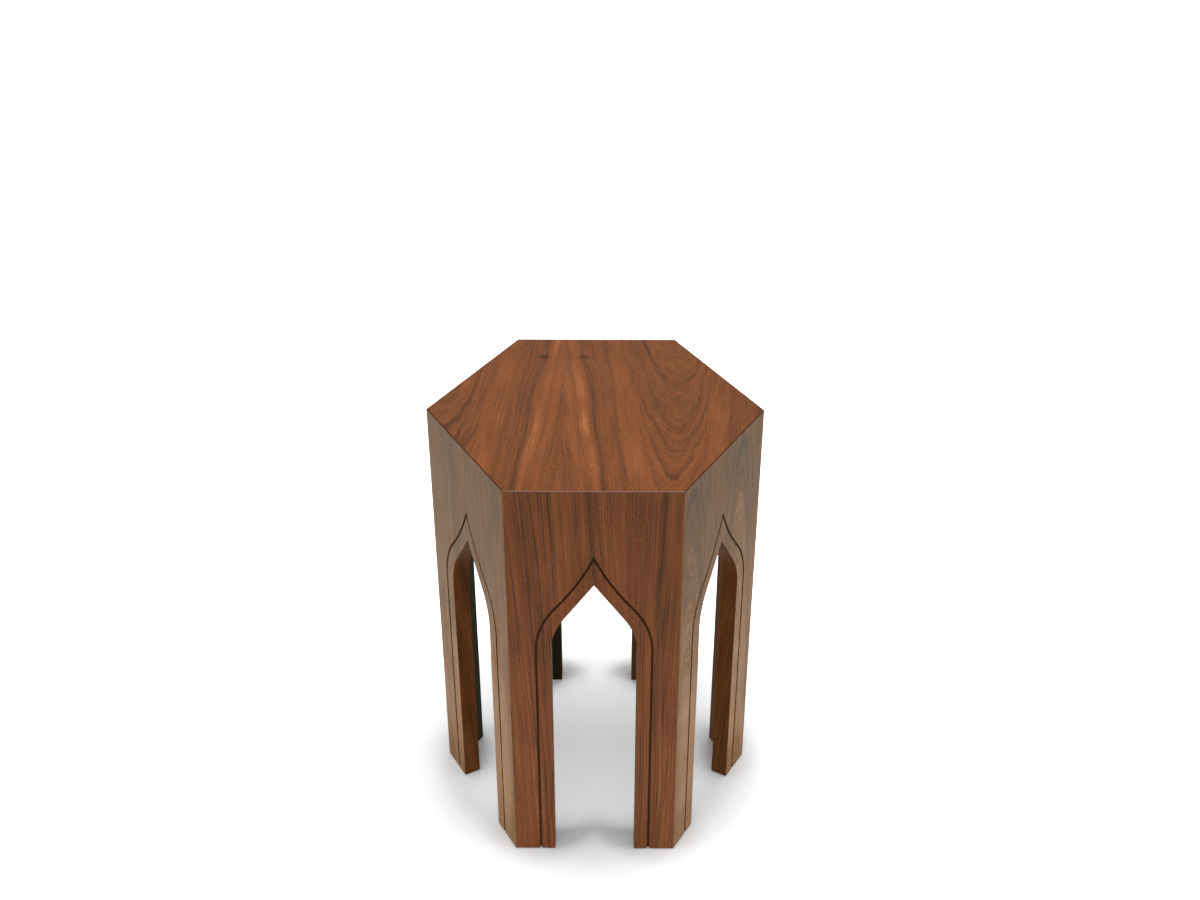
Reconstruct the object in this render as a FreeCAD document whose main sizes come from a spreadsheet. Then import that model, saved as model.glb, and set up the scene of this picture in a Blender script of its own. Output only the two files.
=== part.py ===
"""Hexagonal arched side table, veneered and mitred.

Six flat side boards stand on the sides of a regular hexagon. Their long edges are mitred to each
other and their top edges to the top board, so the outside shows veneer only. Each side has a pointed
arch that leaves two legs, and an ogee groove is routed round the arch. Nothing on the table moves.

Frame: millimetres, +Z up, origin on the floor under the middle of the top. Side 1 faces -Y, the other
sides follow anticlockwise seen from above, and corner N lies between side N and the next one.
"""
import FreeCAD, Part
import os
import Sketcher
from math import acos, cos, degrees, radians, sin, tan
from FreeCAD import Placement, Rotation, Vector

SIDES = 6
FULL_ANGLE = 360
TURN = FULL_ANGLE / SIDES
MITRE = TURN / 2
BEVEL_ANGLE = 45
UP = Vector(0, 0, 1)

# The ends and axes that sketch constraints name by number. The horizontal axis starts at the origin.
START, END = range(1, 3)
HORIZONTAL, VERTICAL = range(-1, -3, -1)

# Lengths in millimetres, angles in degrees, and plain shares.
DRIVING = {
    # Whole table
    "side_length": 203.2,
    "overall_height": 558.8,
    "board_thickness": 22,
    "veneer_thickness": 0.6,
    "edge_band_thickness": 0.6,
    # Arch opening
    "arch_half_width": 50.8,
    "arch_spring_height": 330,
    "arch_shoulder_radius": 82,
    "arch_flank_angle": 35.5,
    # Ogee groove
    "groove_half_width": 69,
    "groove_shoulder_radius": 98.8,
    "groove_shoulder_angle": 40.5,
    "groove_crown_radius": 293,
    "groove_width": 3,
    "groove_depth": 3,
    # Book-matched top
    "seam_left_of_middle": 40,
    # Splines in the mitres
    "spline_thickness": 4,
    "spline_depth_share": 0.6,
    "kerf_depth": 8,
    "kerf_clearance": 0.5,
    "corner_spline_foot_gap": 60,
    "corner_spline_head_gap": 36,
    "top_spline_end_gap": 32,
    # Glue blocks and their screws
    "block_leg": 36,
    "block_end": 10,
    "block_height": 40,
    "screw_inset": 15,
    "screw_length": 50,
    "screw_head_radius": 4,
    "screw_head_height": 2.7,
    "screw_shank_radius": 2,
    "screw_tip_length": 4,
    # Foot glides
    "glide_radius": 8.5,
    "glide_height": 1.5,
    "glide_chamfer": 0.4,
    # How far a cutting outline runs past what it cuts
    "overrun": 2,
}

doc = FreeCAD.newDocument("tabouret")
sheet = doc.addObject("Spreadsheet::Sheet", "Sizes")
for row, (alias, number) in enumerate(DRIVING.items(), start=1):
    sheet.set(f"A{row}", alias.replace("_", " "))
    sheet.set(f"B{row}", str(number))
    sheet.setAlias(f"B{row}", alias)
doc.recompute()

# Sizes worked out from the sheet, as expressions that features and constraints are bound to.
APOTHEM = f"(Sizes.side_length * cos({MITRE}))"
FOOT = "Sizes.glide_height"
PAST_FOOT = "(Sizes.glide_height - Sizes.overrun)"
CORE_FAR = "(Sizes.board_thickness - Sizes.veneer_thickness)"
UNDER_TOP = "(Sizes.overall_height - Sizes.board_thickness)"
KERF_DEPTH_IN = "(Sizes.board_thickness * Sizes.spline_depth_share)"
INNER_CORNER = f"(Sizes.side_length - Sizes.board_thickness / cos({MITRE}))"
SCREW_PLACE = f"({INNER_CORNER} - Sizes.screw_inset)"
SPLINE_REACH = "(Sizes.kerf_depth - Sizes.kerf_clearance)"
SPLINE_HEAD = f"({UNDER_TOP} - Sizes.corner_spline_head_gap)"
TOP_SPLINE_LENGTH = "(Sizes.side_length - 2 * Sizes.top_spline_end_gap)"

# Each side board is three layers, from the outer face inwards: name, near depth and far depth.
LAYERS = (
    ("side_face_veneer", "0", "Sizes.veneer_thickness"),
    ("side_core", "Sizes.veneer_thickness", CORE_FAR),
    ("side_backing_veneer", CORE_FAR, "Sizes.board_thickness"),
)

subparts = []


def size(expression):
    """The present value of an expression in the sheet's sizes."""
    return float(sheet.evalExpression(expression))


# Sketches

def new_sketch(body, name, plane, lift="0", shift="0"):
    """A sketch on one of the body's origin planes, lifted along its normal and shifted across."""
    sketch = body.newObject("Sketcher::SketchObject", name)
    planes = {feature.Role: feature for feature in body.Origin.OriginFeatures}
    sketch.AttachmentSupport = [(planes[plane], "")]
    sketch.MapMode = "FlatFace"
    if lift != "0":
        sketch.setExpression("AttachmentOffset.Base.z", lift)
    if shift != "0":
        sketch.setExpression("AttachmentOffset.Base.x", shift)
    return sketch


def bind(sketch, constraint, expression):
    """Add a dimension and tie it to the sheet."""
    index = sketch.addConstraint(constraint)
    sketch.setExpression(f"Constraints[{index}]", expression)


def pin(sketch, edge, end, across, up):
    """Fix one end of an edge at a place given by two expressions."""
    for kind, axis, expression in (("DistanceX", VERTICAL, across), ("DistanceY", HORIZONTAL, up)):
        if expression == "0":
            sketch.addConstraint(Sketcher.Constraint("PointOnObject", edge, end, axis))
        else:
            distance = Sketcher.Constraint(kind, HORIZONTAL, START, edge, end, size(expression))
            bind(sketch, distance, expression)


def join(sketch, kind, edge, end, other, other_end):
    sketch.addConstraint(Sketcher.Constraint(kind, edge, end, other, other_end))


def add_line(sketch, start, end):
    return sketch.addGeometry(Part.LineSegment(Vector(*start, 0), Vector(*end, 0)), False)


def add_arc(sketch, centre, radius, first, last):
    circle = Part.Circle(Vector(*centre, 0), UP, radius)
    return sketch.addGeometry(Part.ArcOfCircle(circle, radians(first), radians(last)), False)


def polygon(sketch, corners):
    """A closed outline of straight edges, each corner a pair of expressions."""
    first = sketch.GeometryCount
    points = [(size(across), size(up)) for across, up in corners]
    for start, end in zip(points, points[1:] + points[:1]):
        add_line(sketch, start, end)
    for index, (across, up) in enumerate(corners):
        following = first + (index + 1) % len(corners)
        join(sketch, "Coincident", first + index, END, following, START)
        pin(sketch, first + index, START, across, up)


def half_arch(sketch, spread, low=PAST_FOOT):
    """Right half of the arch, set outwards by spread: leg line, shoulder arc and straight flank.

    Returns the leg line, which starts at the low end, and the flank, which ends on the middle line.
    """
    half_width = f"(Sizes.arch_half_width + {spread})"
    radius = f"(Sizes.arch_shoulder_radius + {spread})"
    spring = size("Sizes.arch_spring_height")
    lean = size("Sizes.arch_flank_angle")
    middle = size("Sizes.arch_half_width - Sizes.arch_shoulder_radius")
    shoulder = (middle + size(radius) * cos(radians(lean)), spring + size(radius) * sin(radians(lean)))
    crown = shoulder[1] + shoulder[0] / tan(radians(lean))
    leg = add_line(sketch, (size(half_width), size(low)), (size(half_width), spring))
    arc = add_arc(sketch, (middle, spring), size(radius), 0, lean)
    flank = add_line(sketch, shoulder, (0, crown))
    pin(sketch, leg, START, half_width, low)
    pin(sketch, leg, END, half_width, "Sizes.arch_spring_height")
    join(sketch, "Tangent", leg, END, arc, START)
    bind(sketch, Sketcher.Constraint("Radius", arc, size(radius)), radius)
    bind(sketch, Sketcher.Constraint("Angle", arc, radians(lean)), "Sizes.arch_flank_angle")
    join(sketch, "Tangent", arc, END, flank, START)
    sketch.addConstraint(Sketcher.Constraint("PointOnObject", flank, END, VERTICAL))
    return leg, flank


def half_ogee(sketch, spread):
    """Right half of the ogee, set outwards by spread: leg line, shoulder arc and reverse crown arc.

    Returns the leg line, which starts below the foot, and the crown arc, which starts on the middle
    line.
    """
    half_width = f"(Sizes.groove_half_width + {spread})"
    radius = f"(Sizes.groove_shoulder_radius + {spread})"
    crown_radius = f"(Sizes.groove_crown_radius - {spread})"
    spring = size("Sizes.arch_spring_height")
    sweep = size("Sizes.groove_shoulder_angle")
    middle = size("Sizes.groove_half_width - Sizes.groove_shoulder_radius")
    between = size("Sizes.groove_shoulder_radius + Sizes.groove_crown_radius")
    crown_middle = (middle + between * cos(radians(sweep)), spring + between * sin(radians(sweep)))
    crown_turn = FULL_ANGLE / 2 + degrees(acos(crown_middle[0] / size(crown_radius)))
    leg = add_line(sketch, (size(half_width), size(PAST_FOOT)), (size(half_width), spring))
    shoulder = add_arc(sketch, (middle, spring), size(radius), 0, sweep)
    crown = add_arc(sketch, crown_middle, size(crown_radius), crown_turn, FULL_ANGLE / 2 + sweep)
    pin(sketch, leg, START, half_width, PAST_FOOT)
    pin(sketch, leg, END, half_width, "Sizes.arch_spring_height")
    join(sketch, "Tangent", leg, END, shoulder, START)
    bind(sketch, Sketcher.Constraint("Radius", shoulder, size(radius)), radius)
    bind(sketch, Sketcher.Constraint("Angle", shoulder, radians(sweep)), "Sizes.groove_shoulder_angle")
    join(sketch, "Tangent", shoulder, END, crown, END)
    bind(sketch, Sketcher.Constraint("Radius", crown, size(crown_radius)), crown_radius)
    sketch.addConstraint(Sketcher.Constraint("PointOnObject", crown, START, VERTICAL))
    return leg, crown


def bridge(sketch, edge, end, other, other_end):
    """Close an outline between two open ends with a straight edge."""
    line = add_line(sketch, sketch.getPoint(edge, end)[:2], sketch.getPoint(other, other_end)[:2])
    join(sketch, "Coincident", edge, end, line, START)
    join(sketch, "Coincident", line, END, other, other_end)


# Features

def new_body(name):
    body = doc.addObject("PartDesign::Body", name)
    body.Label = name
    return body


def origin_feature(body, role):
    return next(feature for feature in body.Origin.OriginFeatures if feature.Role == role)


def pad(body, sketch, length, symmetric=False):
    feature = body.newObject("PartDesign::Pad", f"{sketch.Name}_pad")
    feature.Profile = sketch
    feature.setExpression("Length", length)
    if symmetric:
        feature.SideType = "Symmetric"
    return feature


def pocket(body, sketch, depth=None, symmetric=False):
    """A cut against the sketch's normal, or both ways, right through where no depth is given."""
    feature = body.newObject("PartDesign::Pocket", f"{sketch.Name}_cut")
    feature.Profile = sketch
    if depth is None:
        feature.Type = "ThroughAll"
    else:
        feature.setExpression("Length", depth)
    if symmetric:
        feature.SideType = "Symmetric"
    return feature


def turned(body, sketch, kind):
    """The sketch turned once round its own upright axis, to add material or to cut it away."""
    feature = body.newObject(kind, f"{sketch.Name}_turned")
    feature.Profile = sketch
    feature.ReferenceAxis = (sketch, ["V_Axis"])
    feature.Angle = FULL_ANGLE
    return feature


def mirrored(body, features):
    """The features again on the other side of the body's middle plane."""
    feature = body.newObject("PartDesign::Mirrored", f"{body.Name}_mirrored")
    feature.Originals = features
    feature.MirrorPlane = (origin_feature(body, "YZ_Plane"), [""])
    body.Tip = feature


def round_the_table(body, features):
    """The features once for each side of the hexagon."""
    feature = body.newObject("PartDesign::PolarPattern", f"{body.Name}_pattern")
    feature.Originals = features
    feature.Axis = (origin_feature(body, "Z_Axis"), [""])
    feature.Angle = FULL_ANGLE
    feature.Occurrences = SIDES
    body.Tip = feature


def place(body, degrees=0):
    """Turn a body about the table's axis and list it as a sub-part."""
    body.Placement = Placement(Vector(), Rotation(UP, degrees))
    subparts.append(body)


# Side boards

def mitred_blank(body, near, far):
    """A layer of the front board between two depths, mitred on its long edges and along its top."""
    near_y = f"({APOTHEM} - {near})"
    far_y = f"({APOTHEM} - {far})"
    plan = new_sketch(body, f"{body.Name}_plan", "XY_Plane", lift=FOOT)
    polygon(plan, [
        (f"-{near_y} * tan({MITRE})", f"-{near_y}"),
        (f"{near_y} * tan({MITRE})", f"-{near_y}"),
        (f"{far_y} * tan({MITRE})", f"-{far_y}"),
        (f"-{far_y} * tan({MITRE})", f"-{far_y}"),
    ])
    pad(body, plan, f"Sizes.overall_height - {near} - {FOOT}")
    bevel = new_sketch(body, f"{body.Name}_bevel", "YZ_Plane")
    polygon(bevel, [
        (f"-{near_y} - Sizes.overrun", f"Sizes.overall_height - {near} + Sizes.overrun"),
        (f"-{far_y} + Sizes.overrun", f"Sizes.overall_height - {far} - Sizes.overrun"),
        (f"-{far_y} + Sizes.overrun", f"Sizes.overall_height - {near} + Sizes.overrun"),
    ])
    pocket(body, bevel, symmetric=True)


def half_opening(body):
    """Half of the arch opening cut right through, with room for the edge band."""
    sketch = new_sketch(body, f"{body.Name}_arch", "XZ_Plane")
    leg, flank = half_arch(sketch, "Sizes.edge_band_thickness")
    crown = sketch.getPoint(flank, END)
    foot = sketch.getPoint(leg, START)
    middle = add_line(sketch, crown[:2], (0, foot[1]))
    sill = add_line(sketch, (0, foot[1]), foot[:2])
    join(sketch, "Coincident", flank, END, middle, START)
    join(sketch, "Coincident", middle, END, sill, START)
    join(sketch, "Coincident", sill, END, leg, START)
    sketch.addConstraint(Sketcher.Constraint("Vertical", middle))
    sketch.addConstraint(Sketcher.Constraint("Horizontal", sill))
    return pocket(body, sketch, symmetric=True)


def half_groove(body):
    """Half of the groove, cut inwards from the table's outer face."""
    sketch = new_sketch(body, f"{body.Name}_groove", "XZ_Plane", lift=APOTHEM)
    outer_leg, outer_crown = half_ogee(sketch, "Sizes.groove_width / 2")
    inner_leg, inner_crown = half_ogee(sketch, "-Sizes.groove_width / 2")
    bridge(sketch, outer_leg, START, inner_leg, START)
    bridge(sketch, outer_crown, START, inner_crown, START)
    return pocket(body, sketch, "Sizes.groove_depth")


def corner_kerf(body):
    """Half of the corner joint's slot, square to the mitre on the right of the front board."""
    from_outer = f"{KERF_DEPTH_IN} / cos({MITRE})"
    half = "Sizes.spline_thickness / 2"
    corners = []
    for out, along in ((half, "Sizes.overrun"), (half, "-Sizes.kerf_depth"),
                       (f"-{half}", "-Sizes.kerf_depth"), (f"-{half}", "Sizes.overrun")):
        reach = f"(Sizes.side_length - {from_outer} + {out})"
        corners.append((
            f"{reach} * cos({TURN}) + {along} * sin({TURN})",
            f"{along} * cos({TURN}) - {reach} * sin({TURN})",
        ))
    sketch = new_sketch(body, f"{body.Name}_kerf", "XY_Plane", lift=f"{SPLINE_HEAD} + Sizes.kerf_clearance")
    polygon(sketch, corners)
    return pocket(body, sketch, f"{SPLINE_HEAD} - Sizes.corner_spline_foot_gap + 2 * Sizes.kerf_clearance")


def slanted_slot(sketch, inner, outer):
    """Outline square to the top mitre, reaching inner into the top and outer into the side board."""
    half = "Sizes.spline_thickness / 2"
    corners = []
    for across, along in ((half, inner), (half, f"-{outer}"),
                          (f"-{half}", f"-{outer}"), (f"-{half}", inner)):
        corners.append((
            f"-{APOTHEM} + {KERF_DEPTH_IN} + ({along} + {across}) * cos({BEVEL_ANGLE})",
            f"Sizes.overall_height - {KERF_DEPTH_IN} + ({along} - {across}) * sin({BEVEL_ANGLE})",
        ))
    polygon(sketch, corners)


def top_kerf(body, inner, outer):
    """Slot for the spline that joins the top board to the front board."""
    sketch = new_sketch(body, f"{body.Name}_top_kerf", "YZ_Plane")
    slanted_slot(sketch, inner, outer)
    return pocket(body, sketch, f"{TOP_SPLINE_LENGTH} + 2 * Sizes.kerf_clearance", symmetric=True)


def make_side(number):
    """Core, face veneer and backing veneer of one side board."""
    for layer, near, far in LAYERS:
        body = new_body(f"{layer}_{number}")
        mitred_blank(body, near, far)
        halves = [half_opening(body)]
        if layer == "side_core":
            top_kerf(body, "Sizes.overrun", "Sizes.kerf_depth")
            halves.append(corner_kerf(body))
        if layer != "side_backing_veneer":
            halves.append(half_groove(body))
        mirrored(body, halves)
        place(body, TURN * (number - 1))


def make_edge_band(number):
    """Strip of veneer round the edge of one arch, folded at the crown."""
    body = new_body(f"arch_edge_band_{number}")
    sketch = new_sketch(body, f"{body.Name}_strip", "XZ_Plane", lift=f"{APOTHEM} - Sizes.board_thickness")
    outer_leg, outer_flank = half_arch(sketch, "Sizes.edge_band_thickness", low=FOOT)
    inner_leg, inner_flank = half_arch(sketch, "0", low=FOOT)
    bridge(sketch, outer_leg, START, inner_leg, START)
    bridge(sketch, outer_flank, END, inner_flank, END)
    mirrored(body, [pad(body, sketch, "Sizes.board_thickness")])
    place(body, TURN * (number - 1))


# Top board

def top_layer(name, near, far):
    """A layer of the top board between two depths.

    Returns the body and the cut that mitres its front edge, for the caller to repeat round the table.
    """
    body = new_body(name)
    reach = f"({APOTHEM} - {near}) / cos({MITRE})"
    plan = new_sketch(body, f"{name}_plan", "XY_Plane", lift=f"Sizes.overall_height - {far}")
    polygon(plan, [(f"{reach} * cos({TURN * corner})", f"{reach} * sin({TURN * corner})")
                   for corner in range(SIDES)])
    pad(body, plan, f"{far} - {near}")
    bevel = new_sketch(body, f"{name}_bevel", "YZ_Plane")
    polygon(bevel, [
        (f"-{APOTHEM} + {near} - Sizes.overrun", f"Sizes.overall_height - {near} + Sizes.overrun"),
        (f"-{APOTHEM} + {far} + Sizes.overrun", f"Sizes.overall_height - {far} - Sizes.overrun"),
        (f"-{APOTHEM} + {near} - Sizes.overrun", f"Sizes.overall_height - {far} - Sizes.overrun"),
    ])
    return body, pocket(body, bevel, symmetric=True)


def screw_outline(body):
    """Half section of a countersunk screw that stands head down under the top."""
    sketch = new_sketch(body, f"{body.Name}_screw", "XZ_Plane", shift=SCREW_PLACE)
    low = f"({UNDER_TOP} - Sizes.block_height)"
    polygon(sketch, [
        ("0", low),
        ("Sizes.screw_head_radius", low),
        ("Sizes.screw_shank_radius", f"{low} + Sizes.screw_head_height"),
        ("Sizes.screw_shank_radius", f"{low} + Sizes.screw_length - Sizes.screw_tip_length"),
        ("0", f"{low} + Sizes.screw_length"),
    ])
    return sketch


def screw_hole(body):
    return turned(body, screw_outline(body), "PartDesign::Groove")


def make_top_core():
    body, bevel = top_layer("top_core", "Sizes.veneer_thickness", CORE_FAR)
    kerf = top_kerf(body, "Sizes.kerf_depth", "Sizes.overrun")
    round_the_table(body, [bevel, kerf, screw_hole(body)])
    place(body)


def make_top_backing():
    body, bevel = top_layer("top_backing_veneer", CORE_FAR, "Sizes.board_thickness")
    round_the_table(body, [bevel, screw_hole(body)])
    place(body)


def make_top_leaf(side, away):
    """One leaf of the book-matched top: the whole layer less what lies past the seam."""
    body, bevel = top_layer(f"top_veneer_{side}", "0", "Sizes.veneer_thickness")
    round_the_table(body, [bevel])
    past = f"{away} * (Sizes.side_length + Sizes.overrun)"
    breadth = f"({APOTHEM} + Sizes.overrun)"
    sketch = new_sketch(body, f"{body.Name}_seam", "XY_Plane")
    polygon(sketch, [
        ("-Sizes.seam_left_of_middle", f"-{breadth}"),
        (past, f"-{breadth}"),
        (past, breadth),
        ("-Sizes.seam_left_of_middle", breadth),
    ])
    body.Tip = pocket(body, sketch, symmetric=True)
    place(body)


# Splines, glue blocks, screws and glides

def make_corner_spline(number):
    """Upright spline across the mitre of one corner, stopped at both ends."""
    body = new_body(f"corner_spline_{number}")
    sketch = new_sketch(body, f"{body.Name}_plan", "XY_Plane", lift="Sizes.corner_spline_foot_gap")
    middle = f"Sizes.side_length - {KERF_DEPTH_IN} / cos({MITRE})"
    near, far = f"{middle} - Sizes.spline_thickness / 2", f"{middle} + Sizes.spline_thickness / 2"
    polygon(sketch, [(near, f"-{SPLINE_REACH}"), (far, f"-{SPLINE_REACH}"),
                     (far, SPLINE_REACH), (near, SPLINE_REACH)])
    pad(body, sketch, f"{SPLINE_HEAD} - Sizes.corner_spline_foot_gap")
    place(body, TURN * (number - 2))


def make_top_spline(number):
    """Level spline across the mitre between the top board and one side board."""
    body = new_body(f"top_spline_{number}")
    sketch = new_sketch(body, f"{body.Name}_section", "YZ_Plane")
    slanted_slot(sketch, SPLINE_REACH, SPLINE_REACH)
    pad(body, sketch, TOP_SPLINE_LENGTH, symmetric=True)
    place(body, TURN * (number - 1))


def make_glue_block(number):
    """Block glued into one corner under the top and screwed up into it."""
    body = new_body(f"glue_block_{number}")
    sketch = new_sketch(body, f"{body.Name}_plan", "XY_Plane", lift=f"{UNDER_TOP} - Sizes.block_height")
    leg_x = f"({INNER_CORNER} - Sizes.block_leg * cos({TURN}))"
    leg_y = f"(Sizes.block_leg * sin({TURN}))"
    end_x = f"({leg_x} - Sizes.block_end * sin({TURN}))"
    end_y = f"({leg_y} - Sizes.block_end * cos({TURN}))"
    polygon(sketch, [(INNER_CORNER, "0"), (leg_x, leg_y), (end_x, end_y),
                     (end_x, f"-{end_y}"), (leg_x, f"-{leg_y}")])
    pad(body, sketch, "Sizes.block_height")
    body.Tip = screw_hole(body)
    place(body, TURN * (number - 2))


def make_screws():
    """The screws of all the glue blocks."""
    body = new_body("glue_block_screws")
    round_the_table(body, [turned(body, screw_outline(body), "PartDesign::Revolution")])
    place(body)


def make_glide(number):
    """Stick-on glide under one leg, centred on the mitred end of the boards."""
    body = new_body(f"foot_glide_{number}")
    middle = f"Sizes.side_length - Sizes.board_thickness / (2 * cos({MITRE}))"
    sketch = new_sketch(body, f"{body.Name}_section", "XZ_Plane", shift=middle)
    polygon(sketch, [
        ("0", "0"),
        ("Sizes.glide_radius - Sizes.glide_chamfer", "0"),
        ("Sizes.glide_radius", "Sizes.glide_chamfer"),
        ("Sizes.glide_radius", FOOT),
        ("0", FOOT),
    ])
    turned(body, sketch, "PartDesign::Revolution")
    place(body, TURN * (number - 2))


# Checks and files

def check_features():
    """Stop if a feature failed, or if a cut took nothing away."""
    for item in doc.Objects:
        if {"Invalid", "Error"} & set(item.State):
            raise RuntimeError(f"{item.Name} failed: {item.State}")
        if item.TypeId in ("PartDesign::Pocket", "PartDesign::Groove"):
            if item.Shape.Volume >= item.BaseFeature.Shape.Volume:
                raise RuntimeError(f"{item.Name} cuts nothing")


def check_subparts():
    for body in subparts:
        if body.Shape.isNull() or not body.Shape.isValid() or not body.Shape.Solids:
            raise RuntimeError(f"{body.Label} has no valid solid")


for number in range(1, SIDES + 1):
    make_side(number)
    make_edge_band(number)
    make_corner_spline(number)
    make_top_spline(number)
    make_glue_block(number)
    make_glide(number)
make_top_core()
make_top_backing()
make_top_leaf("left", 1)
make_top_leaf("right", -1)
make_screws()

doc.recompute()
check_features()
check_subparts()
os.makedirs("parts", exist_ok=True)
for body in subparts:
    body.Shape.exportStep(f"parts/{body.Label}.step")
    box = body.Shape.BoundBox
    print(f"{body.Label:24} solids {len(body.Shape.Solids)}  volume {body.Shape.Volume:12.1f}  "
          f"x {box.XMin:8.2f} {box.XMax:8.2f}  y {box.YMin:8.2f} {box.YMax:8.2f}  "
          f"z {box.ZMin:7.2f} {box.ZMax:7.2f}")
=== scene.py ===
from dataclasses import dataclass
from math import acos, cos, pi, radians, sin, tan

import bmesh
import bpy
from mathutils import Matrix, Vector


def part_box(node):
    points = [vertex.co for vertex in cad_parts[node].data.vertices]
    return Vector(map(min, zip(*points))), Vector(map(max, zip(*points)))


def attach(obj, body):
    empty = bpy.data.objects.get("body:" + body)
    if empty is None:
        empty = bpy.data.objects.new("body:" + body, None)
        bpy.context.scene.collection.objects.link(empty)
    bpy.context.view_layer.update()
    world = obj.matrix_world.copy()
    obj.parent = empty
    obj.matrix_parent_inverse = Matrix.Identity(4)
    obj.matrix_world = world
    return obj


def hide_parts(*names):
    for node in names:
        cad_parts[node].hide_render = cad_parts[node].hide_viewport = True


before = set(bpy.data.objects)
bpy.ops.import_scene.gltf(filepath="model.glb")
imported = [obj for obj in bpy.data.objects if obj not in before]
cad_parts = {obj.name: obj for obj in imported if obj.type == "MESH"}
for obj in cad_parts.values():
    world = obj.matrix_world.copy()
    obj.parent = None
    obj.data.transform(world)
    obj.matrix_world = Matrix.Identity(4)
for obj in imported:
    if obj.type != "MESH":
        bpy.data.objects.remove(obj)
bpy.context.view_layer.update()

# Sizes of the table, in metres: most are read from the frame, the rest are the part's own sizes.
SIDES = 6
TURN = 2 * pi / SIDES
MITRE = TURN / 2
BEVEL = radians(45)
BAND_LOW, BAND_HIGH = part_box("arch_edge_band_1")
FACE_LOW, FACE_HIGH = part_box("side_face_veneer_1")
HEIGHT = FACE_HIGH.z
FOOT = FACE_LOW.z
APOTHEM = -FACE_LOW.y
VENEER = FACE_HIGH.y - FACE_LOW.y
BOARD = BAND_HIGH.y - BAND_LOW.y
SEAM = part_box("top_veneer_left")[1].x
BAND = 0.0006
ARCH_HALF_WIDTH = BAND_HIGH.x - BAND
ARCH_SHOULDER = 0.082
ARCH_LEAN = radians(35.5)
GROOVE_HALF_WIDTH = 0.069
GROOVE_SHOULDER = 0.0988
GROOVE_SWEEP = radians(40.5)
GROOVE_CROWN = 0.293
GROOVE_WIDTH = 0.003
SPRING = 0.330

# Radii of the eased edges, how finely edges and arcs are divided, and how close points are welded.
OUTER_EASE = 0.0009
LIP_EASE = 0.0004
ARCH_EASE = 0.0005
EASE_STEPS = 4
ARC_STEPS = 18
WELD = 1e-7


# Outlines on a side, as (across, up) points

def whole(half):
    """A path over the arch from the right foot to the left, from its right half, foot to crown."""
    return half + [(-across, up) for across, up in reversed(half[:-1])]


def arch_path(spread):
    """The arch opening's edge, set outwards by spread."""
    middle = ARCH_HALF_WIDTH - ARCH_SHOULDER
    radius = ARCH_SHOULDER + spread
    half = [(ARCH_HALF_WIDTH + spread, FOOT)]
    for step in range(ARC_STEPS + 1):
        angle = ARCH_LEAN * step / ARC_STEPS
        half.append((middle + radius * cos(angle), SPRING + radius * sin(angle)))
    across, up = half[-1]
    half.append((0.0, up + across / tan(ARCH_LEAN)))
    return whole(half)


def ogee_path(spread):
    """The groove's middle line, set outwards by spread."""
    middle = GROOVE_HALF_WIDTH - GROOVE_SHOULDER
    radius = GROOVE_SHOULDER + spread
    half = [(GROOVE_HALF_WIDTH + spread, FOOT)]
    for step in range(ARC_STEPS + 1):
        angle = GROOVE_SWEEP * step / ARC_STEPS
        half.append((middle + radius * cos(angle), SPRING + radius * sin(angle)))
    between = GROOVE_SHOULDER + GROOVE_CROWN
    crown = (middle + between * cos(GROOVE_SWEEP), SPRING + between * sin(GROOVE_SWEEP))
    crown_radius = GROOVE_CROWN - spread
    last = acos(crown[0] / crown_radius)
    for step in range(1, ARC_STEPS + 1):
        angle = pi + GROOVE_SWEEP + (last - GROOVE_SWEEP) * step / ARC_STEPS
        half.append((crown[0] + crown_radius * cos(angle), crown[1] + crown_radius * sin(angle)))
    return whole(half)


# Meshes

def new_piece(name, mesh, replaced):
    piece = bpy.data.objects.new(name, mesh)
    bpy.context.scene.collection.objects.link(piece)
    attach(piece, "root")
    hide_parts(replaced)
    return piece


def finish_mesh(work, name, place=Matrix.Identity(4)):
    """Weld the points that meet, turn the faces outwards and make the mesh."""
    bmesh.ops.remove_doubles(work, verts=work.verts, dist=WELD)
    bmesh.ops.recalc_face_normals(work, faces=work.faces)
    mesh = bpy.data.meshes.new(name)
    work.to_mesh(mesh)
    work.free()
    mesh.transform(place)
    return mesh


def skin(name, rows, place=Matrix.Identity(4)):
    """A closed sheet: the first row of points bounds its face, the last its back, the rest its edge."""
    work = bmesh.new()
    verts = [[work.verts.new(point) for point in row] for row in rows]
    work.faces.new(verts[0])
    work.faces.new(reversed(verts[-1]))
    count = len(rows[0])
    for row, following in zip(verts, verts[1:]):
        for index in range(count):
            after = (index + 1) % count
            work.faces.new((row[index], row[after], following[after], following[index]))
    return finish_mesh(work, name, place)


def side_turn(number):
    return Matrix.Rotation(TURN * (number - 1), 4, "Z")


def on_side(across, depth, up):
    """A point of side 1, depth inwards from its outer face."""
    return Vector((across, depth - APOTHEM, up))


def mitred_edge(step):
    """Boundary points of a side's face, from the right foot up, over and down to the left foot.

    Steps up to EASE_STEPS roll over the eased edge and the last one is on the back of the veneer.
    """
    half_core = (APOTHEM - OUTER_EASE) * tan(MITRE)
    top_core = HEIGHT - OUTER_EASE
    if step > EASE_STEPS:
        half, top = (APOTHEM - VENEER) * tan(MITRE), HEIGHT - VENEER
        places = [(half, FOOT)] + [(half, top)] * 3
        right = [on_side(across, VENEER, up) for across, up in places]
    else:
        share = step / EASE_STEPS
        right = []
        for up, side_share, top_share in ((FOOT, share, 0), (top_core, share, 0),
                                          (top_core, share, share), (top_core, 0, share)):
            roll = Vector((tan(MITRE * side_share), -1, tan(BEVEL * top_share))).normalized()
            right.append(on_side(half_core, OUTER_EASE, up) + OUTER_EASE * roll)
    return right + [Vector((-point.x, point.y, point.z)) for point in reversed(right)]


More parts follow.
